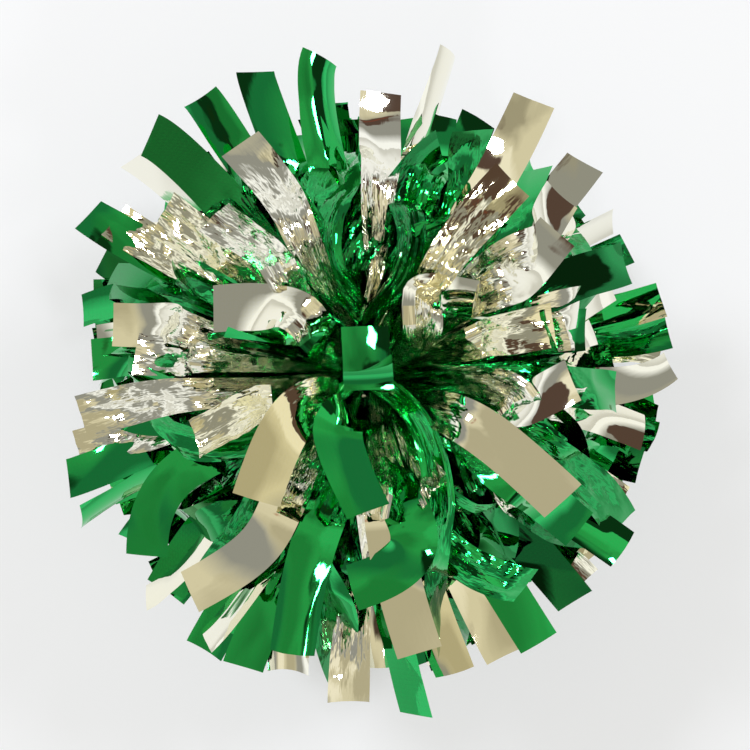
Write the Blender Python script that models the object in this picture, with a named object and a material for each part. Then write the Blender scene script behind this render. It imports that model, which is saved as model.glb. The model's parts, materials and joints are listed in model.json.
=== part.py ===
"""A cheer pom pom: two heads of metallic film streamers, one bound to each end of a baton handle.

Metres, +Z up. The pom stands on its lower head, and the origin is on the floor under the handle's axis.
Each head is built in a frame of its own, with its hinges at height 0 and +Z pointing away from the hand.
"""

import math

import bmesh
import bpy
from mathutils import Matrix, Vector

# Streamers. Angles are in degrees from the head's axis, one for each straight length of a streamer.
STREAMER_LENGTH = 0.150
STREAMER_WIDTH = 0.019
STREAMER_THICKNESS = 0.0004
ROWS = 7
UPPER_INNER_ROW = (24, 30, 38)
UPPER_OUTER_ROW = (98, 103, 108)
LOWER_INNER_ROW = (36, 68, 90)
LOWER_OUTER_ROW = (96, 98, 100)
STAGGER = (0.0, 0.9, -0.9)

# Bundles, and how far a bundle swings on its hinge: towards the axis and away from it
BUNDLES = 6
COLUMNS = (("green", "left", -1), ("silver", "middle", 0), ("green", "right", 1))
SWING_IN = 8
SWING_OUT = 12
ROOT_RADIUS = 0.003
ROOT_FACET = 6.5
ROOT_BACK_SIDES = 6

# Baton handle and end plugs
HANDLE_RADIUS = 0.0105
HANDLE_WALL = 0.002
HINGE_SPACING = 0.126
HANDLE_PAST_HINGE = 0.004
PLUG_DEPTH = 0.012
PLUG_CAP = 0.003
EDGE_CHAMFER = 0.0006

# Binding: bands of uncut film, cable tie and tape
BAND_LENGTH = 0.008
SILVER_BAND_THICKNESS = 0.0018
GREEN_BAND_THICKNESS = 0.0031
TIE_THICKNESS = 0.0013
TIE_WIDTH = 0.0048
TIE_HEAD = 0.0062
TAPE_WIDTH = 0.006
TAPE_THICKNESS = 0.0008

GAP = 0.0003
SIDES = 40

# The hinges stand just outside the handle, with room for the root bars to turn
HINGE_CLEARANCE = 0.0005
HINGE_RADIUS = HANDLE_RADIUS + HINGE_CLEARANCE + ROOT_RADIUS

COLOURS = {
    "green": (0.02, 0.42, 0.12, 1.0),
    "silver": (0.80, 0.78, 0.62, 1.0),
    "plastic": (0.025, 0.027, 0.026, 1.0),
    "tie": (0.05, 0.05, 0.05, 1.0),
    "tape": (0.72, 0.72, 0.70, 1.0),
}


def material(name, colour, metallic, roughness):
    made = bpy.data.materials.new(name)
    made.use_nodes = True
    shader = made.node_tree.nodes["Principled BSDF"]
    shader.inputs["Base Color"].default_value = COLOURS[colour]
    shader.inputs["Metallic"].default_value = metallic
    shader.inputs["Roughness"].default_value = roughness
    return made


def node(name, mesh_data, parent, colour, metallic=0.0, roughness=0.4):
    """A named object with a material of its own, carried by its parent."""
    mesh = bpy.data.meshes.new(name)
    bmesh.ops.recalc_face_normals(mesh_data, faces=mesh_data.faces)
    mesh_data.to_mesh(mesh)
    mesh_data.free()
    mesh.materials.append(material(name, colour, metallic, roughness))
    made = bpy.data.objects.new(name, mesh)
    made.parent = parent
    bpy.context.scene.collection.objects.link(made)
    return made


def carrier(name, parent, place):
    """An empty that carries pieces at a place of its own."""
    made = bpy.data.objects.new(name, None)
    made.parent = parent
    made.matrix_local = place
    bpy.context.scene.collection.objects.link(made)
    return made


def turned(profile):
    """A solid turned about Z from a closed profile of (radius, height) points."""
    made = bmesh.new()
    corners = [made.verts.new((radius, 0.0, height)) for radius, height in profile]
    edges = [made.edges.new((a, b)) for a, b in zip(corners, corners[1:] + corners[:1])]
    bmesh.ops.spin(
        made,
        geom=corners + edges,
        axis=(0, 0, 1),
        cent=(0, 0, 0),
        steps=SIDES,
        angle=2 * math.pi,
        use_merge=True,
    )
    bmesh.ops.remove_doubles(made, verts=made.verts, dist=1e-6)
    bmesh.ops.dissolve_degenerate(made, edges=made.edges, dist=1e-6)
    return made


def ring(inner, outer, low, high):
    """A turned ring with its outer edges chamfered."""
    cut = min(EDGE_CHAMFER, (outer - inner) / 3)
    return turned(
        [
            (inner, low),
            (outer - cut, low),
            (outer, low + cut),
            (outer, high - cut),
            (outer - cut, high),
            (inner, high),
        ]
    )


def direction(angle):
    """The unit direction at an angle in degrees from the head's axis, in the plane of the hinge's swing."""
    return Vector((math.sin(math.radians(angle)), 0.0, math.cos(math.radians(angle))))


def row_angles(inner_row, outer_row, row):
    """The direction of each straight length of a streamer in this row; row 0 is the innermost."""
    share = row / (ROWS - 1)
    return [inner + (outer - inner) * share for inner, outer in zip(inner_row, outer_row)]


def half_room(point):
    """How far from its bundle's middle a point can be, clear of the next bundle at every swing."""
    reach = math.hypot(point.x, point.z)
    angle = math.degrees(math.atan2(point.x, point.z))
    nearest = min(math.sin(math.radians(angle - SWING_IN)), math.sin(math.radians(angle + SWING_OUT)))
    return (HINGE_RADIUS + reach * nearest) * math.tan(math.pi / BUNDLES) - GAP


def across(point, side, stagger):
    """The middle and half width of a streamer, across the bundle, where its centreline is at this point."""
    third = half_room(point) / 3
    half_width = min(STREAMER_WIDTH / 2, third - GAP)
    return 2 * third * side + stagger * (third - GAP - half_width), half_width


def streamer_line(angles, side, stagger):
    """The centreline of a streamer in the plane of the hinge's swing, from its root to its tip."""
    start = direction(angles[0]) * ROOT_RADIUS
    full = start.copy()
    for angle in angles:
        full += direction(angle) * STREAMER_LENGTH / len(angles)
    sideways = across(full, side, stagger)[0]
    step = math.sqrt(STREAMER_LENGTH**2 - sideways**2) / len(angles)
    line = [start]
    for angle in angles:
        line.append(line[-1] + direction(angle) * step)
    return line


def grow_streamer(made, face, angles, side, stagger):
    """Extrudes a root facet into a streamer, one straight length after another, wider away from the root."""
    line = streamer_line(angles, side, stagger)
    bends = [(a + b) / 2 for a, b in zip(angles, angles[1:])] + [angles[-1]]
    for point, bend in zip(line[1:], bends):
        outward = direction(bend + 90)
        middle, half_width = across(point, side, stagger)
        centre = face.calc_center_median()
        face = bmesh.ops.extrude_discrete_faces(made, faces=[face])["faces"][0]
        for corner in face.verts:
            from_centre = corner.co - centre
            over = math.copysign(STREAMER_THICKNESS / 2, from_centre.dot(outward))
            beside = math.copysign(half_width, from_centre.y)
            corner.co = point + outward * over + Vector((0.0, middle + beside, 0.0))


def streamer_column(inner_row, outer_row, side):
    """One column of a bundle: rows of streamers, all grown from one short root bar along the hinge."""
    made = bmesh.new()
    rows = [row_angles(inner_row, outer_row, row) for row in range(ROWS)]
    around = []
    for angles in rows:
        around += [angles[0] - ROOT_FACET / 2, angles[0] + ROOT_FACET / 2]
    back = around[0] + 360 - around[-1]
    around += [around[-1] + back * (step + 1) / ROOT_BACK_SIDES for step in range(ROOT_BACK_SIDES - 1)]
    bar_third = ((HINGE_RADIUS - ROOT_RADIUS) * math.tan(math.pi / BUNDLES) - GAP) / 3
    low = 2 * bar_third * side - bar_third + GAP / 2
    high = 2 * bar_third * side + bar_third - GAP / 2
    ends = []
    for along in (low, high):
        points = [direction(angle) * ROOT_RADIUS + Vector((0.0, along, 0.0)) for angle in around]
        ends.append([made.verts.new(point) for point in points])
    made.faces.new(ends[0])
    made.faces.new(ends[1])
    count = len(around)
    facets = [
        made.faces.new((ends[0][k], ends[0][(k + 1) % count], ends[1][(k + 1) % count], ends[1][k]))
        for k in range(count)
    ]
    for row, angles in enumerate(rows):
        stagger = STAGGER[(row + side) % len(STAGGER)]
        grow_streamer(made, facets[2 * row], angles, side, stagger)
    return made


def end_plug():
    """A plug that closes the end of the tube, with its cap's flat face away from the hand."""
    tube_end = HANDLE_PAST_HINGE
    shank = HANDLE_RADIUS - HANDLE_WALL - GAP
    cap = tube_end + GAP
    top = cap + PLUG_CAP
    return turned(
        [
            (0.0, cap - PLUG_DEPTH),
            (shank, cap - PLUG_DEPTH),
            (shank, cap),
            (HANDLE_RADIUS, cap),
            (HANDLE_RADIUS, top - EDGE_CHAMFER),
            (HANDLE_RADIUS - EDGE_CHAMFER, top),
            (0.0, top),
        ]
    )


def cable_tie(name, parent, inner, middle):
    """A strap with its ratchet head, as one piece."""
    loop = ring(inner, inner + TIE_THICKNESS, middle - TIE_WIDTH / 2, middle + TIE_WIDTH / 2)
    strap = node(name, loop, parent, "tie", roughness=0.45)
    block = bmesh.new()
    bmesh.ops.create_cube(block, size=TIE_HEAD)
    bmesh.ops.translate(block, verts=block.verts, vec=(inner + GAP + TIE_HEAD / 2, 0.0, middle))
    bmesh.ops.bevel(block, geom=block.edges[:], offset=EDGE_CHAMFER, segments=1, affect="EDGES")
    head = node(name + "_head_helper", block, parent, "tie")
    head.hide_render = True
    head.display_type = "WIRE"
    join = strap.modifiers.new("ratchet head", "BOOLEAN")
    join.operation = "UNION"
    join.solver = "EXACT"
    join.object = head


def binding(head_name, parent):
    """The bands of uncut film under the hinges, the tie that clamps them, and the tape on the hand's side."""
    top = -ROOT_RADIUS - GAP
    low = top - BAND_LENGTH
    silver_inner = HANDLE_RADIUS + GAP
    silver_outer = silver_inner + SILVER_BAND_THICKNESS
    green_inner = silver_outer + GAP
    green_outer = green_inner + GREEN_BAND_THICKNESS
    node(head_name + "_silver_band", ring(silver_inner, silver_outer, low, top), parent, "silver", 1.0, 0.2)
    node(head_name + "_green_band", ring(green_inner, green_outer, low, top), parent, "green", 1.0, 0.2)
    cable_tie(head_name + "_cable_tie", parent, green_outer + GAP, (low + top) / 2)
    tape_top = low - GAP
    tape = ring(silver_inner, silver_inner + TAPE_THICKNESS, tape_top - TAPE_WIDTH, tape_top)
    node(head_name + "_binding_tape", tape, parent, "tape", roughness=0.6)


def head(head_name, place, inner_row, outer_row):
    """One head: its bundles on their hinges, its binding and its end plug."""
    frame = carrier(head_name + "_head", None, place)
    binding(head_name, frame)
    node(head_name + "_end_plug", end_plug(), frame, "plastic")
    for bundle in range(BUNDLES):
        turn = Matrix.Rotation(2 * math.pi * bundle / BUNDLES, 4, "Z")
        outward = Matrix.Translation((HINGE_RADIUS, 0.0, 0.0))
        hinge = carrier(f"{head_name}_hinge_{bundle + 1}", frame, turn @ outward)
        for colour, where, side in COLUMNS:
            name = f"{head_name}_{colour}_streamers_{bundle + 1}_{where}"
            node(name, streamer_column(inner_row, outer_row, side), hinge, colour, 1.0, 0.2)


def standing_height():
    """How high the lower hinges are when the innermost lower streamers lie on the floor."""
    return STREAMER_THICKNESS / 2 + streamer_line(LOWER_INNER_ROW, 0, STAGGER[0])[-1].z


def main():
    for existing in list(bpy.data.objects):
        bpy.data.objects.remove(existing)
    low = standing_height()
    high = low + HINGE_SPACING
    inner = HANDLE_RADIUS - HANDLE_WALL
    tube = ring(inner, HANDLE_RADIUS, low - HANDLE_PAST_HINGE, high + HANDLE_PAST_HINGE)
    node("baton_handle", tube, None, "plastic")
    head("upper", Matrix.Translation((0.0, 0.0, high)), UPPER_INNER_ROW, UPPER_OUTER_ROW)
    flipped = Matrix.Translation((0.0, 0.0, low)) @ Matrix.Rotation(math.pi, 4, "X")
    head("lower", flipped, LOWER_INNER_ROW, LOWER_OUTER_ROW)


main()
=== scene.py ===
"""The looks of the cheer pom pom: crinkled mirror-film streamers, seen from straight above."""

import json
import math
from collections import namedtuple

import bpy
import numpy as np
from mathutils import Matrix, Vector


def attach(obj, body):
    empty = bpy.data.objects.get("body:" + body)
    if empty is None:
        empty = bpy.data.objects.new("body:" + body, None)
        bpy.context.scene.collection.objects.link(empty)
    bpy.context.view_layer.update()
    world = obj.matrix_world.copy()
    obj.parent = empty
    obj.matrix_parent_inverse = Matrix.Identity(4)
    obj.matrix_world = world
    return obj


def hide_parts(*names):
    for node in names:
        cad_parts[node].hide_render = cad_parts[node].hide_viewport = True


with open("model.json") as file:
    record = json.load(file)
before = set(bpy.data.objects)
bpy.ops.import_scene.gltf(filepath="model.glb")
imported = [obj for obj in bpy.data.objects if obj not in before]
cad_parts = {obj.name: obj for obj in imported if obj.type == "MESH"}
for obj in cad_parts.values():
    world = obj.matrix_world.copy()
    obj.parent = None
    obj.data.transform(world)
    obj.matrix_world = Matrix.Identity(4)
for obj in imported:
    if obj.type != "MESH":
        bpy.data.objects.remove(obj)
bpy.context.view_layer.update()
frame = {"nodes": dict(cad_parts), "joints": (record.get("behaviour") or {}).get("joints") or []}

# Streamers, in metres, and how finely their meshes are made. Edges bent by more than SHARP_ANGLE, in
# degrees, stay sharp, and the streamers of a bundle lie side by side on the film's UV map, UV_STEP apart.
STREAMER_LENGTH = 0.150
STREAMER_WIDTH = 0.019
POINTS_ALONG = 61
POINTS_ACROSS = 13
SHARP_ANGLE = 28
UV_STEP = 0.05

# Where the streamers leave each head's binding, from the bundles' hinges. A fill streamer's root lies at
# a share of the hinges' radius, and its turn about the handle varies by ROOT_SPREAD, in radians.
HINGES = {joint["child"]: joint["pos_m"] for joint in frame["joints"]}
UPPER_ROOT_HEIGHT = HINGES["upper_bundle_1"][2]
LOWER_ROOT_HEIGHT = HINGES["lower_bundle_1"][2]
ROOT_RADIUS = HINGES["upper_bundle_1"][0]
ROOT_SHARES = (0.92, 1.12)
ROOT_SPREAD = 0.25
BUNDLES = 6
HEADS = ("upper", "lower")
COLOURS = ("green", "silver")

# The fill of each head: how many streamers of each colour each bundle has besides those placed by the
# photograph, which shows more silver to the right and left; between which leans from the head's own axis
# they lie, in degrees; and which share of its length a streamer of each bundle still spans, once it is
# crumpled. The fill reaches less far at the top of the picture. SPAN_SPREAD is how much a streamer's own
# span varies.
Fill = namedtuple("Fill", "counts leans spans")
FILLS = {
    "upper": Fill(
        {"green": (30, 36, 44, 40, 46, 42), "silver": (8, 4, 1, 1, 2, 3)},
        (66, 130),
        (0.87, 0.80, 0.83, 0.87, 0.88, 0.88),
    ),
    "lower": Fill(
        {"green": (34,) * BUNDLES, "silver": (12,) * BUNDLES},
        (50, 136),
        (0.95, 0.97, 0.95, 0.93, 0.87, 0.84),
    ),
}
SPAN_SPREAD = 0.07

# Fill of the upper head: how far a streamer's root leans back from its own lean and its tip droops beyond
# it, in degrees; how much the turns of its start and finish and its roll vary, in radians; how crumpled
# it is; and the height in metres that it stays over
ROOT_BACK = (15, 42)
TIP_DROOP = (45, 100)
UPPER_START_SPREAD = 0.2
UPPER_FINISH_SPREAD = 0.6
UPPER_ROLL = 0.8
UPPER_CRUSH = (0.45, 1.0)
UPPER_FLOOR = 0.02

# The same for the lower head, with how far its roots lean back and their least lean in radians
LOWER_ROOT_BACK = 0.2
LOWER_LEAST_LEAN = 0.4
LOWER_START_SPREAD = 0.12
LOWER_FINISH_SPREAD = 0.3
LOWER_ROLL = 0.5
LOWER_CRUSH = (0.3, 0.9)
LOWER_FLOORS = (0.0008, 0.012)

# How the fill wanders from a plain bend, sideways and up and down, as slopes, in a few waves of so many
# turns over a streamer's length; and the height over its floor from which it levels out
SIDE_WANDER = 0.12
RISE_WANDER = 0.10
WAVES = 3
WAVE_PACES = (0.6, 2.2)
LEVELLING_HEIGHT = 0.03

# The dome that the fill of the upper head lies under: its height on the axis, how far it falls at a
# radius, by which power of the radius it falls, and the share of what sticks out that is pressed down
DOME_TOP = 0.228
DOME_FALL = 0.062
DOME_RADIUS = 0.14
DOME_POWER = 3
DOME_PRESS = 0.85

# How a streamer is bound. Its root is pleated in facets and gathered to a share of its width, and it
# opens out over a share of its length, to which OPENING_IF_CRUSHED is added for one that is crumpled to
# the end.
PLEATS = 4
PLEAT_FACETS = 5
ROOT_GATHER = 0.22
OPENING = (0.40, 0.60)
OPENING_IF_CRUSHED = 0.55

# How it is crumpled: for each crumple its height in metres and its facets along and across. The facets
# slant by up to FACET_SLANT rows from side to side, and FACET_MARGIN rows past each end leave room for
# that. The crumple fades out between two shares of the length, each given for a smooth streamer, with
# what is added for one that is crumpled to the end.
CRUMPLES = ((0.00090, 8, 6), (0.00050, 28, 6))
FACET_SLANT = 1.5
FACET_MARGIN = 2
FADE_START = (0.25, 0.60)
FADE_END = (0.45, 0.75)

# How its end is folded: the number of creases, their slants in half turns and their places as shares of
# the length, how deep the end is cupped, in metres, and over which shares of the length, and its twist in
# radians. Cup and twist are for a fold of 1, and a streamer has a fold of its own.
CREASES = 3
CREASE_SLANTS = (0.15, 0.85)
CREASE_PLACES = (0.50, 0.98)
CUP_DEPTH = 0.005
CUP_SPAN = (0.3, 0.8)
TWIST = 0.3
PLACED_FOLD = 0.19
FILL_FOLD = 0.30

# How its face turns: over which shares of the length it rolls, and how strongly it turns level on the way
ROLL_SPAN = (0.10, 0.85)
LEVELLING = 0.6

# Film stays this far over the floor, in metres
FLOOR_CLEARANCE = 0.0003

# How a placed streamer is bowed to its tip: the share of its length that it spans, how far its root leans
# back from the straight way and its least lean, in radians, and the curve's points, pulls in metres and
# halvings of their range
PLACED_SPAN = 0.88
PLACED_ROOT_BACK = 0.55
PLACED_LEAST_LEAN = 0.08
CURVE_POINTS = 80
ROOT_PULLS = (0.01, 0.20)
LONGEST_TIP_PULL = 0.06
HALVINGS = 30

# The photograph's frame, its pixel on the handle's axis, and the heights over the floor, in metres, of the
# camera and of the rim, where the scale holds. The sensor's width is in millimetres.
IMAGE_SIZE = 750
AXIS_PIXEL = (370, 372)
CAMERA_HEIGHT = 0.75
RIM_HEIGHT = 0.12
METRES_PER_PIXEL_AT_RIM = 0.00051
SENSOR_WIDTH = 36.0

# Each film's tones: a streamer's own lies between the two
GREEN_TONES = ((0.004, 0.20, 0.045), (0.012, 0.49, 0.108))
SILVER_TONES = ((0.90, 0.86, 0.60), (0.92, 0.91, 0.80))

# Mirror film: its lacquer, its roughness where it is smooth and where it is crumpled, and its fine
# wrinkles, which slant by an angle in degrees and run along the streamer. Their depth is in metres, and
# smooth film has only SMOOTH_SHARE of it.
COAT = 0.4
COAT_ROUGHNESS = 0.03
FILM_ROUGHNESS = (0.035, 0.080)
WRINKLE_SCALE = 720.0
WRINKLE_DETAIL = 0.8
WRINKLE_SLANT = 14
WRINKLE_STRETCH = (1.0, 0.24, 1.0)
WRINKLE_DEPTH = 0.00055
SMOOTH_SHARE = 0.02

# Finishes of the pieces that keep their CAD shape. stretch is how fine the grain is along X, Y and Z, and
# depth is the grain's own, in metres. The roughness varies with the grain by a share of itself.
Finish = namedtuple("Finish", "colour metallic roughness stretch depth")
FINISHES = {
    # The handle and plugs are near black so that the end plug in the middle of the upper head stands in for
    # the shade there: painted shade.
    "plastic_dark_as_painted_shade": Finish((0.025, 0.027, 0.026), 0.0, 0.40, (900, 900, 900), 0.00004),
    "tie_nylon": Finish((0.05, 0.05, 0.05), 0.0, 0.45, (600, 600, 1500), 0.00005),
    "vinyl_tape": Finish((0.72, 0.72, 0.70), 0.0, 0.55, (300, 300, 1200), 0.00006),
    "wound_silver_film": Finish(SILVER_TONES[1], 1.0, 0.16, (80, 80, 2600), 0.00012),
    "wound_green_film": Finish(GREEN_TONES[1], 1.0, 0.16, (80, 80, 2600), 0.00012),
}
BINDING_FINISHES = {
    "end_plug": "plastic_dark_as_painted_shade",
    "cable_tie": "tie_nylon",
    "binding_tape": "vinyl_tape",
    "silver_band": "wound_silver_film",
    "green_band": "wound_green_film",
}
GRAIN_DETAIL = 3.0
ROUGHNESS_SPREAD = 0.25

# The studio's walls and ceiling: the height of each tone, as the sine of its angle over the horizon, and
# its colour
WALL_TONES = (
    (0.12, (0.90, 0.91, 0.93)),
    (0.32, (0.27, 0.27, 0.25)),
    (0.58, (0.27, 0.27, 0.25)),
    (0.76, (0.62, 0.57, 0.41)),
)
ROOM_STRENGTH = 1.12

# What else the mirror film reflects from above: the direction of each patch, how near to it a direction
# has to be, as a cosine, how soft its edge is, and its colour. Noise makes the edges wobble, and
# WOBBLE_MIDDLE, which is about its mean, is taken off again.
ROOM_PATCHES = (
    ((-0.30, -0.35, 0.89), 0.90, 0.08, (0.42, 0.38, 0.26)),
    ((0.22, 0.55, 0.80), 0.93, 0.06, (0.33, 0.30, 0.21)),
    ((0.48, -0.12, 0.87), 0.955, 0.03, (0.80, 0.75, 0.60)),
    ((0.80, 0.22, 0.55), 0.935, 0.01, (0.085, 0.052, 0.040)),
    ((0.43, 0.62, 0.65), 0.975, 0.01, (0.085, 0.052, 0.040)),
    ((-0.43, 0.55, 0.71), 0.988, 0.02, (0.055, 0.036, 0.026)),
    ((0.25, -0.66, 0.71), 0.990, 0.02, (0.055, 0.036, 0.026)),
    ((0.50, 0.58, 0.64), 0.991, 0.02, (0.300, 0.040, 0.010)),
    ((-0.44, 0.25, 0.86), 0.996, 0.02, (0.300, 0.050, 0.012)),
)
WOBBLE = 0.12
WOBBLE_MIDDLE = 0.05
WOBBLE_SCALE = 3.0
WOBBLE_DETAIL = 2.0

# The floor's paper: its half width in metres, its colour and roughness where it is lit, and the even tone
# that is mixed in by a share where it is seen
FLOOR_REACH = 40
PAPER_LIT = (0.86, 0.90, 0.99)
PAPER_ROUGHNESS = 0.8
PAPER_EVEN = (0.95, 0.955, 0.965)
PAPER_EVEN_SHARE = 0.45

# Square lamps: place and width in metres and power in watts. All have one colour and aim at one point.
LAMPS = {
    "key": ((-0.75, 0.60, 1.40), 0.27, 11),
    "fill": ((0.76, 0.50, 1.35), 0.23, 7),
    "front": ((0.35, -0.85, 1.20), 0.12, 2),
}
LAMP_AIM = (0.0, 0.0, 0.1)
LAMP_COLOUR = (1.0, 0.98, 0.98)

# Straight up, and a way just off it, across which even a streamer that points straight up has a side
UP = np.array([0.0, 0.0, 1.0])
NEARLY_UP = UP + 0.01

SEED = 7

# Streamers that the photograph shows plainly. tip is the pixel at the middle of the cut end and heading
# the way it points in the picture, in degrees from right, counter-clockwise. height is the tip's, in
# metres over the floor. dip is how far the end points down and roll how far its face turns about its
# length, both in degrees. crush is how much of it is crumpled: 0 is smooth but for its root and 1 is
# crumpled to the end.
Placed = namedtuple("Placed", "colour tip heading height dip roll crush")
PLACED = [
    Placed("green", (255, 72), 95, 0.190, 5, 30, 0.35),
    Placed("green", (325, 57), 62, 0.190, 0, 35, 0.3),
    Placed("green", (200, 99), 140, 0.180, 10, 20, 0.5),
    Placed("green", (150, 135), 156, 0.235, 8, -12, 0.4),
    Placed("silver", (131, 175), 158, 0.180, 10, 45, 0.3),
    Placed("green", (88, 215), 146, 0.195, 5, 25, 0.3),
    Placed("silver", (240, 142), 128, 0.232, 10, 0, 0.75),
    Placed("silver", (380, 94), 90, 0.200, 8, 5, 0.5),
    Placed("green", (437, 115), 82, 0.180, 15, 0, 0.5),
    Placed("green", (410, 118), 95, 0.175, 15, 10, 0.4),
    Placed("green", (480, 118), 70, 0.170, 15, 20, 0.4),
    Placed("silver", (433, 52), 85, 0.190, 5, 55, 0.2),
    Placed("silver", (534, 100), 66, 0.215, 3, 0, 0.25),
    Placed("silver", (514, 179), 46, 0.252, 4, 5, 0.75),
    Placed("silver", (585, 163), 52, 0.190, 15, -20, 0.3),
    Placed("silver", (552, 200), 60, 0.205, 20, 15, 0.5),
    Placed("silver", (619, 233), 20, 0.180, 0, 60, 0.1),
    Placed("silver", (557, 232), 50, 0.225, 20, 0, 0.5),
    Placed("silver", (618, 280), 30, 0.175, 25, 10, 0.3),
    Placed("silver", (600, 320), 15, 0.185, 25, -15, 0.5),
    Placed("silver", (553, 325), 11, 0.235, 8, 5, 0.85),
    Placed("green", (587, 330), 5, 0.200, 20, 20, 0.4),
    Placed("silver", (497, 300), -5, 0.238, 15, 35, 0.5),
    Placed("silver", (572, 380), 25, 0.222, 10, 10, 0.5),
    Placed("silver", (670, 365), 40, 0.170, 0, 30, 0.3),
    Placed("silver", (648, 430), -20, 0.170, 10, -20, 0.2),
    Placed("green", (612, 465), -10, 0.190, 10, 40, 0.4),
    Placed("silver", (559, 499), -45, 0.262, 4, 0, 0.3),
    Placed("silver", (620, 505), -35, 0.165, 25, 10, 0.9),
    Placed("green", (625, 552), -35, 0.190, 8, 0, 0.15),
    Placed("green", (580, 530), -40, 0.205, 15, 10, 0.2),
    Placed("green", (538, 642), -58, 0.180, 10, 0, 0.4),
    Placed("green", (575, 600), -50, 0.180, 12, 12, 0.4),
    Placed("silver", (452, 510), -50, 0.212, 20, 20, 0.5),
    Placed("silver", (419, 650), -72, 0.240, 8, 0, 0.1),
    Placed("silver", (455, 668), -65, 0.185, 8, 10, 0.2),
    Placed("silver", (505, 655), -55, 0.175, 10, 0, 0.2),
    Placed("green", (425, 668), -75, 0.180, 10, 0, 0.2),
    Placed("green", (392, 722), -87, 0.195, 0, 60, 0.1),
    Placed("green", (369, 510), -63, 0.270, 8, 0, 0.25),
    Placed("silver", (385, 560), -80, 0.225, 20, 0, 0.9),
    Placed("green", (292, 654), -98, 0.228, 10, -6, 0.15),
    Placed("green", (352, 588), 200, 0.244, 18, 8, 0.2),
    Placed("green", (340, 648), -88, 0.180, 10, -10, 0.3),
    Placed("green", (243, 667), -105, 0.185, 10, 0, 0.3),
    Placed("green", (205, 650), -115, 0.175, 10, 10, 0.3),
    Placed("silver", (348, 701), -90, 0.190, 10, 0, 0.8),
    Placed("silver", (375, 668), -90, 0.175, 10, 0, 0.2),
    Placed("silver", (288, 665), -95, 0.170, 10, 0, 0.2),
    Placed("silver", (190, 592), 209, 0.222, 8, 12, 0.15),
    Placed("silver", (254, 503), 252, 0.274, 12, 0, 0.45),
    Placed("green", (144, 558), -92, 0.205, 12, 10, 0.1),
    Placed("green", (165, 590), 240, 0.175, 10, 0, 0.3),
    Placed("silver", (145, 595), 200, 0.190, 0, 60, 0.2),
    Placed("silver", (205, 640), 225, 0.185, 0, 60, 0.2),
    Placed("green", (66, 476), 190, 0.190, 0, 40, 0.1),
    Placed("green", (74, 508), 210, 0.190, 0, 60, 0.1),
    Placed("silver", (110, 485), 200, 0.175, 12, 0, 0.2),
    Placed("silver", (80, 450), 195, 0.180, 10, 0, 0.9),
    Placed("silver", (81, 417), 195, 0.215, 4, 10, 0.9),
    Placed("silver", (195, 440), 207, 0.240, 8, 35, 1.0),
    Placed("green", (120, 440), 200, 0.190, 12, -20, 0.8),
    Placed("green", (95, 360), 185, 0.185, 8, 0, 0.4),
    Placed("silver", (85, 340), 180, 0.180, 10, 10, 0.5),
    Placed("green", (84, 312), 200, 0.180, 10, 30, 0.2),
    Placed("silver", (134, 351), 175, 0.216, 8, 25, 1.0),
    Placed("silver", (118, 323), 178, 0.200, 10, -10, 0.6),
    Placed("silver", (209, 307), 182, 0.250, 20, 15, 0.4),
    Placed("green", (234, 323), 178, 0.246, 25, 42, 0.3),
    Placed("silver", (214, 218), 145, 0.235, 10, 10, 1.0),
    Placed("silver", (165, 210), 143, 0.210, 10, -15, 1.0),
    Placed("silver", (115, 225), 150, 0.190, 8, 20, 0.9),
    Placed("green", (366, 326), 93, 0.275, 5, 8, 0.1),
]


def smooth_step(value, low, high):
    share = np.clip((value - low) / (high - low), 0.0, 1.0)
    return share * share * (3 - 2 * share)


def unit(vectors):
    return vectors / np.linalg.norm(vectors, axis=-1, keepdims=True)


def rotated(vectors, axes, angles):
    """Each vector turned about its own unit axis."""
    cosine = np.cos(angles)[:, None]
    sine = np.sin(angles)[:, None]
    along = np.sum(vectors * axes, axis=1, keepdims=True)
    return vectors * cosine + np.cross(axes, vectors) * sine + axes * along * (1 - cosine)


def waves(rng, along, strength):
    """A smooth random wander along a streamer, zero at its root."""
    total = np.zeros_like(along)
    for _ in range(WAVES):
        pace = rng.uniform(*WAVE_PACES)
        phase = rng.uniform(0, 2 * math.pi)
        total += rng.normal() * (np.sin(2 * math.pi * pace * along + phase) - math.sin(phase))
    return strength * total


def crumple(rng, facets_along, facets_across):
    """Heights of a crumpled sheet on a streamer's grid: flat facets on a slanting random lattice."""
    slant = rng.uniform(-FACET_SLANT, FACET_SLANT)
    lattice = rng.normal(size=(facets_along + 2 * FACET_MARGIN + 1, facets_across + 1))
    across = np.linspace(0, facets_across, POINTS_ACROSS)[None, :]
    along = np.linspace(FACET_MARGIN, facets_along + FACET_MARGIN, POINTS_ALONG)[:, None]
    along = along + slant * (across / facets_across - 0.5)
    across = np.broadcast_to(across, along.shape)
    rows = along.astype(int)
    columns = np.minimum(across.astype(int), facets_across - 1)
    row_share = along - rows
    column_share = across - columns
    corner = lattice[rows, columns]
    next_row = lattice[rows + 1, columns]
    next_column = lattice[rows, columns + 1]
    opposite = lattice[rows + 1, columns + 1]
    low_half = corner + (next_row - corner) * row_share + (next_column - corner) * column_share
    high_half = (
        opposite
        + (next_column - opposite) * (1 - row_share)
        + (next_row - opposite) * (1 - column_share)
    )
    return np.where(row_share + column_share <= 1, low_half, high_half)


def creases(rng, steepest):
    """Heights of a sheet folded a little along a few straight slanting lines."""
    down = np.linspace(0, STREAMER_LENGTH, POINTS_ALONG)[:, None]
    beside = np.linspace(-0.5, 0.5, POINTS_ACROSS)[None, :] * STREAMER_WIDTH
    heights = np.zeros((POINTS_ALONG, POINTS_ACROSS))
    for _ in range(CREASES):
        slant = rng.uniform(*CREASE_SLANTS) * math.pi
        place = rng.uniform(*CREASE_PLACES) * STREAMER_LENGTH
        distance = (down - place) * math.cos(slant) + beside * math.sin(slant)
        heights += rng.uniform(-steepest, steepest) * np.maximum(distance, 0)
    return heights


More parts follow.
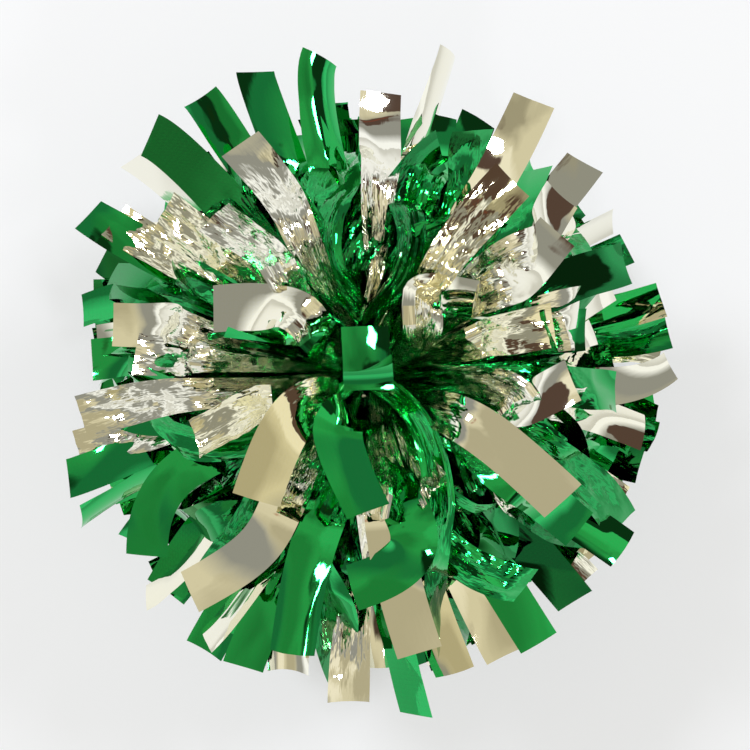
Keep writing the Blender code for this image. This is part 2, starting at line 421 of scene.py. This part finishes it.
def film_strip(rng, path, roll, crush, fold):
    """The points of one streamer on its middle line, and how crumpled it is at each point.

    It is pleated where it is bound, crumpled from there on as far as crush says, and smooth with a few
    creases towards its cut end, each folded by up to fold, a slope. roll turns its face about its length
    on the way there.
    """
    along = np.linspace(0, 1, POINTS_ALONG)
    heading = unit(np.gradient(path, axis=0))
    width_way = [unit(np.cross(UP, heading[0]))]
    for index in range(1, POINTS_ALONG):
        level = np.cross(UP, heading[index])
        carried = width_way[-1] - heading[index] * np.dot(width_way[-1], heading[index])
        if np.dot(level, carried) < 0:
            level = -level
        width_way.append(unit(unit(carried) + LEVELLING * level))
    turns = roll * smooth_step(along, *ROLL_SPAN) + waves(rng, along, TWIST * fold)
    width_way = rotated(np.array(width_way), heading, turns)
    face_way = np.cross(heading, width_way)

    opening = rng.uniform(*OPENING) + OPENING_IF_CRUSHED * crush
    gathered = ROOT_GATHER + (1 - ROOT_GATHER) * smooth_step(along, 0.0, opening)
    pleat = 0.5 * STREAMER_WIDTH / PLEATS * np.sqrt(np.maximum(0.0, 1 - gathered**2))
    fade_start = FADE_START[0] + FADE_START[1] * crush
    fade_end = FADE_END[0] + FADE_END[1] * crush
    crumpled = 1 - smooth_step(along, fade_start, fade_end)
    heights = pleat[:, None] * crumple(rng, PLEAT_FACETS, PLEATS)
    for height, facets_along, facets_across in CRUMPLES:
        heights = heights + height * crumpled[:, None] * crumple(rng, facets_along, facets_across)
    across = np.linspace(-0.5, 0.5, POINTS_ACROSS) * STREAMER_WIDTH
    cup = rng.normal() * CUP_DEPTH * fold * smooth_step(along, *CUP_SPAN)
    heights = heights + cup[:, None] * (2 * across[None, :] / STREAMER_WIDTH) ** 2
    heights = heights + creases(rng, fold)

    beside = across[None, :] * gathered[:, None]
    points = path[:, None, :] + width_way[:, None, :] * beside[:, :, None]
    points = points + face_way[:, None, :] * heights[:, :, None]
    points[:, :, 2] = np.maximum(points[:, :, 2], FLOOR_CLEARANCE)
    return points, np.repeat(crumpled, POINTS_ACROSS)


def wandering_path(rng, root, start, finish, floor, length):
    """A middle line of this length that bends from one direction to another and stays over a height."""
    along = np.linspace(0, 1, POINTS_ALONG)
    ease = smooth_step(along, 0.0, 1.0)[:, None]
    heading = unit(start * (1 - ease) + finish * ease)
    sideways = unit(np.cross(heading, NEARLY_UP))
    upward = np.cross(sideways, heading)
    heading = unit(
        heading
        + sideways * waves(rng, along, SIDE_WANDER)[:, None]
        + upward * waves(rng, along, RISE_WANDER)[:, None]
    )
    step = length / (POINTS_ALONG - 1)
    path = [root]
    for index in range(1, POINTS_ALONG):
        drop = path[-1][2] - floor
        steepest = -min(1.0, max(0.0, drop / LEVELLING_HEIGHT))
        if heading[index][2] < steepest:
            level = np.linalg.norm(heading[index][:2])
            heading[index][:2] *= math.sqrt(1 - steepest * steepest) / level
            heading[index][2] = steepest
        path.append(path[-1] + heading[index] * step)
    return np.array(path)


def under_dome(path):
    """A middle line pressed down to where the fill lies, under the streamers placed by the photograph."""
    reach = np.linalg.norm(path[:, :2], axis=1)
    dome = DOME_TOP - DOME_FALL * (reach / DOME_RADIUS) ** DOME_POWER
    lowered = path.copy()
    lowered[:, 2] -= DOME_PRESS * np.maximum(0.0, path[:, 2] - dome)
    return lowered


def even_spacing(points, count):
    """Points at even steps along a line, and the line's length."""
    steps = np.linalg.norm(np.diff(points, axis=0), axis=1)
    run = np.concatenate([[0.0], np.cumsum(steps)])
    places = np.linspace(0, run[-1], count)
    return np.stack([np.interp(places, run, points[:, axis]) for axis in range(3)], axis=1), run[-1]


def path_to_tip(root, start, tip, finish):
    """A smooth middle line from the root to a tip, bowed to a crumpled streamer's length where it can be."""
    share = np.linspace(0, 1, CURVE_POINTS)[:, None]
    low, high = ROOT_PULLS
    for _ in range(HALVINGS):
        pull = (low + high) / 2
        first = root + start * pull
        second = tip - finish * min(pull, LONGEST_TIP_PULL)
        points = (
            root * (1 - share) ** 3
            + first * 3 * share * (1 - share) ** 2
            + second * 3 * share**2 * (1 - share)
            + tip * share**3
        )
        path, length = even_spacing(points, POINTS_ALONG)
        if length < STREAMER_LENGTH * PLACED_SPAN:
            low = pull
        else:
            high = pull
    return path


def polar(angle, turn):
    """The unit direction at an angle from straight up, and at a turn about the axis, both in radians."""
    return np.array([math.sin(angle) * math.cos(turn), math.sin(angle) * math.sin(turn), math.cos(angle)])


def root_point(height, turn, share):
    """A streamer's root at a height, at a turn about the axis and at a share of the hinges' radius."""
    return np.array([0.0, 0.0, height]) + ROOT_RADIUS * share * polar(math.pi / 2, turn)


def placed_turn(placed):
    """The turn about the axis at which a placed streamer is bound, on its tip's side."""
    return math.atan2(AXIS_PIXEL[1] - placed.tip[1], placed.tip[0] - AXIS_PIXEL[0])


def placed_streamer(rng, placed):
    """A streamer whose tip is where the photograph shows it."""
    distance_share = (CAMERA_HEIGHT - placed.height) / (CAMERA_HEIGHT - RIM_HEIGHT)
    metres_per_pixel = METRES_PER_PIXEL_AT_RIM * distance_share
    tip = np.array(
        [
            (placed.tip[0] - AXIS_PIXEL[0]) * metres_per_pixel,
            (AXIS_PIXEL[1] - placed.tip[1]) * metres_per_pixel,
            placed.height,
        ]
    )
    turn = placed_turn(placed)
    root = root_point(UPPER_ROOT_HEIGHT, turn, 1.0)
    chord = unit(tip - root)
    lean = max(PLACED_LEAST_LEAN, math.acos(chord[2]) - PLACED_ROOT_BACK)
    finish = polar(math.pi / 2 + math.radians(placed.dip), math.radians(placed.heading))
    path = path_to_tip(root, polar(lean, turn), tip, finish)
    return film_strip(rng, path, math.radians(placed.roll), placed.crush, PLACED_FOLD)


def upper_streamer(rng, turn, lean, length):
    """A fill streamer of the upper head whose middle is at about this lean from straight up."""
    root = root_point(UPPER_ROOT_HEIGHT, turn + rng.normal() * ROOT_SPREAD, rng.uniform(*ROOT_SHARES))
    start_lean = max(0.0, lean - math.radians(rng.uniform(*ROOT_BACK)))
    start = polar(start_lean, turn + rng.normal() * UPPER_START_SPREAD)
    finish_lean = lean + math.radians(rng.uniform(*TIP_DROOP))
    finish = polar(finish_lean, turn + rng.normal() * UPPER_FINISH_SPREAD)
    path = under_dome(wandering_path(rng, root, start, finish, UPPER_FLOOR, length))
    return film_strip(rng, path, rng.normal() * UPPER_ROLL, rng.uniform(*UPPER_CRUSH), FILL_FOLD)


def lower_streamer(rng, turn, lean, length):
    """A fill streamer of the lower head, which spreads along the floor; its lean is from straight down."""
    root = root_point(LOWER_ROOT_HEIGHT, turn + rng.normal() * ROOT_SPREAD, rng.uniform(*ROOT_SHARES))
    start_lean = max(LOWER_LEAST_LEAN, lean - LOWER_ROOT_BACK)
    start = polar(math.pi - start_lean, turn + rng.normal() * LOWER_START_SPREAD)
    finish = polar(math.pi - lean, turn + rng.normal() * LOWER_FINISH_SPREAD)
    path = wandering_path(rng, root, start, finish, rng.uniform(*LOWER_FLOORS), length)
    return film_strip(rng, path, rng.normal() * LOWER_ROLL, rng.uniform(*LOWER_CRUSH), FILL_FOLD)


def spread(rng, count, low, high):
    """Leans that cover a ball evenly between two angles from the axis, in degrees."""
    shares = (np.arange(count) + rng.uniform(0, 1, count)) / count
    top = math.cos(math.radians(low))
    bottom = math.cos(math.radians(high))
    return np.arccos(top + (bottom - top) * shares)


def turns_about(rng, count, middle):
    """Turns about the axis that cover a bundle evenly, in no order."""
    shares = (rng.permutation(count) + rng.uniform(0, 1, count)) / count
    return middle + 2 * math.pi / BUNDLES * (shares - 0.5)


def bundle_streamers(rng, head, bundle, colour):
    """The streamers of one colour in one bundle: first those placed by the photograph, then the fill."""
    middle = 2 * math.pi * bundle / BUNDLES * (1 if head == "upper" else -1)
    half = math.pi / BUNDLES
    strips = []
    if head == "upper":
        for placed in PLACED:
            apart = (placed_turn(placed) - middle + math.pi) % (2 * math.pi) - math.pi
            if placed.colour == colour and -half <= apart < half:
                strips.append(placed_streamer(rng, placed))
    fill = FILLS[head]
    streamer = upper_streamer if head == "upper" else lower_streamer
    count = fill.counts[colour][bundle]
    for turn, lean in zip(turns_about(rng, count, middle), spread(rng, count, *fill.leans)):
        span = fill.spans[bundle] * (1 + SPAN_SPREAD * rng.uniform(-1, 1))
        strips.append(streamer(rng, turn, lean, STREAMER_LENGTH * min(1.0, span)))
    return strips


def streamer_mesh(name, strips):
    """One mesh of many streamers, each laid out on its own part of the film's UV map."""
    grid = np.arange(POINTS_ALONG * POINTS_ACROSS).reshape(POINTS_ALONG, POINTS_ACROSS)
    quads = np.stack([grid[:-1, :-1], grid[:-1, 1:], grid[1:, 1:], grid[1:, :-1]], axis=-1).reshape(-1, 4)
    down, beside = np.meshgrid(
        np.linspace(0, STREAMER_LENGTH, POINTS_ALONG),
        np.linspace(0, STREAMER_WIDTH, POINTS_ACROSS),
        indexing="ij",
    )
    flat = np.stack([beside, down], axis=-1).reshape(-1, 2)
    points = np.concatenate([strip.reshape(-1, 3) for strip, _ in strips])
    faces = np.concatenate([quads + index * grid.size for index in range(len(strips))])
    mesh = bpy.data.meshes.new(name)
    mesh.from_pydata(points.tolist(), [], faces.tolist())
    layer = mesh.uv_layers.new(name="film")
    places = np.concatenate([flat + (index * UV_STEP, 0.0) for index in range(len(strips))])
    layer.uv.foreach_set("vector", places[faces.reshape(-1)].astype(np.float32).reshape(-1))
    numbers = np.repeat(np.arange(len(strips)) + 0.5, grid.size)
    crumpled = np.concatenate([share for _, share in strips])
    for attribute, values in (("streamer_number", numbers), ("crumpled", crumpled)):
        made = mesh.attributes.new(attribute, "FLOAT", "POINT")
        made.data.foreach_set("value", values.astype(np.float32))
    mesh.polygons.foreach_set("use_smooth", np.ones(len(faces), dtype=bool))
    mesh.update()
    mesh.set_sharp_from_angle(angle=math.radians(SHARP_ANGLE))
    return mesh


def dress_bundle(head, bundle, colour, cover, nodes):
    """Makes one colour of one bundle in film, in place of its CAD nodes."""
    rng = np.random.default_rng((SEED, bundle, HEADS.index(head), COLOURS.index(colour)))
    name = f"{head}_{colour}_film_{bundle + 1}"
    strips = bundle_streamers(rng, head, bundle, colour)
    piece = bpy.data.objects.new(name, streamer_mesh(name, strips))
    piece.data.materials.append(cover)
    bpy.context.scene.collection.objects.link(piece)
    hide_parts(*nodes)
    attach(piece, f"{head}_bundle_{bundle + 1}")


def film(name, colour, other):
    """Mirror film: metal under clear lacquer, finely wrinkled where crumpled, with a tone per streamer."""
    made = bpy.data.materials.new(name)
    made.use_nodes = True
    nodes = made.node_tree.nodes
    links = made.node_tree.links
    shader = nodes["Principled BSDF"]
    shader.inputs["Metallic"].default_value = 1.0
    shader.inputs["Coat Weight"].default_value = COAT
    shader.inputs["Coat Roughness"].default_value = COAT_ROUGHNESS
    number = nodes.new("ShaderNodeAttribute")
    number.attribute_name = "streamer_number"
    varied = nodes.new("ShaderNodeTexWhiteNoise")
    varied.noise_dimensions = "1D"
    links.new(number.outputs["Fac"], varied.inputs["W"])
    tone = nodes.new("ShaderNodeMix")
    tone.data_type = "RGBA"
    tone.inputs["A"].default_value = (*colour, 1.0)
    tone.inputs["B"].default_value = (*other, 1.0)
    links.new(varied.outputs["Value"], tone.inputs["Factor"])
    links.new(tone.outputs["Result"], shader.inputs["Base Color"])

    place = nodes.new("ShaderNodeUVMap")
    place.uv_map = "film"
    slanted = nodes.new("ShaderNodeMapping")
    slanted.inputs["Rotation"].default_value = (0.0, 0.0, math.radians(WRINKLE_SLANT))
    slanted.inputs["Scale"].default_value = WRINKLE_STRETCH
    links.new(place.outputs["UV"], slanted.inputs["Vector"])
    wrinkles = nodes.new("ShaderNodeTexNoise")
    wrinkles.inputs["Scale"].default_value = WRINKLE_SCALE
    wrinkles.inputs["Detail"].default_value = WRINKLE_DETAIL
    links.new(slanted.outputs["Vector"], wrinkles.inputs["Vector"])
    crumpled = nodes.new("ShaderNodeAttribute")
    crumpled.attribute_name = "crumpled"
    amount = nodes.new("ShaderNodeMapRange")
    amount.inputs["To Min"].default_value = SMOOTH_SHARE
    amount.inputs["To Max"].default_value = 1.0
    links.new(crumpled.outputs["Fac"], amount.inputs["Value"])
    height = nodes.new("ShaderNodeMath")
    height.operation = "MULTIPLY"
    links.new(wrinkles.outputs["Fac"], height.inputs[0])
    links.new(amount.outputs["Result"], height.inputs[1])
    bump = nodes.new("ShaderNodeBump")
    bump.inputs["Strength"].default_value = 1.0
    bump.inputs["Distance"].default_value = WRINKLE_DEPTH
    links.new(height.outputs["Value"], bump.inputs["Height"])
    links.new(bump.outputs["Normal"], shader.inputs["Normal"])
    rough = nodes.new("ShaderNodeMapRange")
    rough.inputs["To Min"].default_value = FILM_ROUGHNESS[0]
    rough.inputs["To Max"].default_value = FILM_ROUGHNESS[1]
    links.new(crumpled.outputs["Fac"], rough.inputs["Value"])
    links.new(rough.outputs["Result"], shader.inputs["Roughness"])
    return made


def fine_grain(name, finish):
    """A material with a fine grain, as its finish says."""
    made = bpy.data.materials.new(name)
    made.use_nodes = True
    nodes = made.node_tree.nodes
    links = made.node_tree.links
    shader = nodes["Principled BSDF"]
    shader.inputs["Base Color"].default_value = (*finish.colour, 1.0)
    shader.inputs["Metallic"].default_value = finish.metallic
    place = nodes.new("ShaderNodeTexCoord")
    scaled = nodes.new("ShaderNodeMapping")
    scaled.inputs["Scale"].default_value = finish.stretch
    links.new(place.outputs["Object"], scaled.inputs["Vector"])
    grain = nodes.new("ShaderNodeTexNoise")
    grain.inputs["Scale"].default_value = 1.0
    grain.inputs["Detail"].default_value = GRAIN_DETAIL
    links.new(scaled.outputs["Vector"], grain.inputs["Vector"])
    bump = nodes.new("ShaderNodeBump")
    bump.inputs["Distance"].default_value = finish.depth
    links.new(grain.outputs["Fac"], bump.inputs["Height"])
    links.new(bump.outputs["Normal"], shader.inputs["Normal"])
    rough = nodes.new("ShaderNodeMapRange")
    rough.inputs["To Min"].default_value = finish.roughness * (1 - ROUGHNESS_SPREAD)
    rough.inputs["To Max"].default_value = finish.roughness * (1 + ROUGHNESS_SPREAD)
    links.new(grain.outputs["Fac"], rough.inputs["Value"])
    links.new(rough.outputs["Result"], shader.inputs["Roughness"])
    return made


def finish_handle():
    """Finishes the CAD nodes that stay: handle, plugs, bands of wound film, ties and tape."""
    made = {name: fine_grain(name, finish) for name, finish in FINISHES.items()}
    frame["nodes"]["baton_handle"].material_slots[0].material = made["plastic_dark_as_painted_shade"]
    for head in HEADS:
        for suffix, name in BINDING_FINISHES.items():
            frame["nodes"][f"{head}_{suffix}"].material_slots[0].material = made[name]


def square_lamp(name, place, width, power):
    lamp = bpy.data.lights.new(name, "AREA")
    lamp.energy = power
    lamp.color = LAMP_COLOUR
    lamp.shape = "SQUARE"
    lamp.size = width
    made = bpy.data.objects.new(name, lamp)
    made.location = place
    made.rotation_euler = (Vector(LAMP_AIM) - Vector(place)).to_track_quat("-Z", "Y").to_euler()
    bpy.context.scene.collection.objects.link(made)


def room():
    """The studio around the object: pale walls, a warm ceiling, and patches that are dark or coloured."""
    world = bpy.data.worlds.new("studio")
    bpy.context.scene.world = world
    world.use_nodes = True
    nodes = world.node_tree.nodes
    links = world.node_tree.links
    place = nodes.new("ShaderNodeTexCoord")
    split = nodes.new("ShaderNodeSeparateXYZ")
    links.new(place.outputs["Generated"], split.inputs["Vector"])
    walls = nodes.new("ShaderNodeValToRGB")
    stops = walls.color_ramp.elements
    stops[0].position = WALL_TONES[0][0]
    stops[1].position = WALL_TONES[-1][0]
    for height, _ in WALL_TONES[1:-1]:
        stops.new(height)
    for stop, (_, tone) in zip(stops, WALL_TONES):
        stop.color = (*tone, 1.0)
    links.new(split.outputs["Z"], walls.inputs["Fac"])
    wobble = nodes.new("ShaderNodeTexNoise")
    wobble.inputs["Scale"].default_value = WOBBLE_SCALE
    wobble.inputs["Detail"].default_value = WOBBLE_DETAIL
    links.new(place.outputs["Generated"], wobble.inputs["Vector"])
    colour = walls.outputs["Color"]
    for toward, nearness, softness, tone in ROOM_PATCHES:
        nearby = nodes.new("ShaderNodeVectorMath")
        nearby.operation = "DOT_PRODUCT"
        nearby.inputs[1].default_value = toward
        links.new(place.outputs["Generated"], nearby.inputs[0])
        edge = nodes.new("ShaderNodeMath")
        edge.operation = "MULTIPLY_ADD"
        edge.inputs[1].default_value = WOBBLE
        links.new(wobble.outputs["Fac"], edge.inputs[0])
        links.new(nearby.outputs["Value"], edge.inputs[2])
        share = nodes.new("ShaderNodeMapRange")
        share.inputs["From Min"].default_value = nearness + WOBBLE_MIDDLE
        share.inputs["From Max"].default_value = nearness + WOBBLE_MIDDLE + softness
        links.new(edge.outputs["Value"], share.inputs["Value"])
        patch = nodes.new("ShaderNodeMix")
        patch.data_type = "RGBA"
        patch.inputs["B"].default_value = (*tone, 1.0)
        links.new(share.outputs["Result"], patch.inputs["Factor"])
        links.new(colour, patch.inputs["A"])
        colour = patch.outputs["Result"]
    links.new(colour, nodes["Background"].inputs["Color"])
    nodes["Background"].inputs["Strength"].default_value = ROOM_STRENGTH


def pale_paper():
    """The floor's white paper, which looks paler than it is lit, also in the film's reflections."""
    made = bpy.data.materials.new("floor_paper")
    made.use_nodes = True
    nodes = made.node_tree.nodes
    links = made.node_tree.links
    lit = nodes["Principled BSDF"]
    lit.inputs["Base Color"].default_value = (*PAPER_LIT, 1.0)
    lit.inputs["Roughness"].default_value = PAPER_ROUGHNESS
    even = nodes.new("ShaderNodeEmission")
    even.inputs["Color"].default_value = (*PAPER_EVEN, 1.0)
    ray = nodes.new("ShaderNodeLightPath")
    seen = ray.outputs["Is Camera Ray"]
    for kind in ("Is Glossy Ray", "Is Transmission Ray"):
        either = nodes.new("ShaderNodeMath")
        either.operation = "MAXIMUM"
        links.new(seen, either.inputs[0])
        links.new(ray.outputs[kind], either.inputs[1])
        seen = either.outputs["Value"]
    share = nodes.new("ShaderNodeMath")
    share.operation = "MULTIPLY"
    share.inputs[1].default_value = PAPER_EVEN_SHARE
    links.new(seen, share.inputs[0])
    both = nodes.new("ShaderNodeMixShader")
    links.new(share.outputs["Value"], both.inputs["Fac"])
    links.new(lit.outputs["BSDF"], both.inputs[1])
    links.new(even.outputs["Emission"], both.inputs[2])
    links.new(both.outputs["Shader"], nodes["Material Output"].inputs["Surface"])
    return made


def studio():
    """The room, the floor and the lamps."""
    scene = bpy.context.scene
    scene.view_settings.view_transform = "Standard"
    room()
    floor_mesh = bpy.data.meshes.new("floor")
    sides = ((-1, -1), (1, -1), (1, 1), (-1, 1))
    corners = [(along * FLOOR_REACH, across * FLOOR_REACH, 0) for along, across in sides]
    floor_mesh.from_pydata(corners, [], [(0, 1, 2, 3)])
    floor = bpy.data.objects.new("floor", floor_mesh)
    scene.collection.objects.link(floor)
    floor_mesh.materials.append(pale_paper())
    for name, (place, width, power) in LAMPS.items():
        square_lamp(name, place, width, power)


def overhead_camera():
    """A camera over the handle's axis that frames the object as the photograph does."""
    lens = bpy.data.cameras.new("camera")
    lens.sensor_width = SENSOR_WIDTH
    field = IMAGE_SIZE * METRES_PER_PIXEL_AT_RIM
    lens.lens = SENSOR_WIDTH * (CAMERA_HEIGHT - RIM_HEIGHT) / field
    lens.shift_x = (IMAGE_SIZE / 2 - AXIS_PIXEL[0]) / IMAGE_SIZE
    lens.shift_y = -(IMAGE_SIZE / 2 - AXIS_PIXEL[1]) / IMAGE_SIZE
    camera = bpy.data.objects.new("camera", lens)
    camera.location = (0.0, 0.0, CAMERA_HEIGHT)
    bpy.context.scene.collection.objects.link(camera)
    bpy.context.scene.camera = camera


overhead_camera()
studio()
finish_handle()
green_film = film("green_film", *GREEN_TONES)
silver_film = film("silver_film", *SILVER_TONES)
for bundle in range(BUNDLES):
    for head in HEADS:
        sides = [f"{head}_green_streamers_{bundle + 1}_{side}" for side in ("left", "right")]
        middle = [f"{head}_silver_streamers_{bundle + 1}_middle"]
        dress_bundle(head, bundle, "green", green_film, sides)
        dress_bundle(head, bundle, "silver", silver_film, middle)
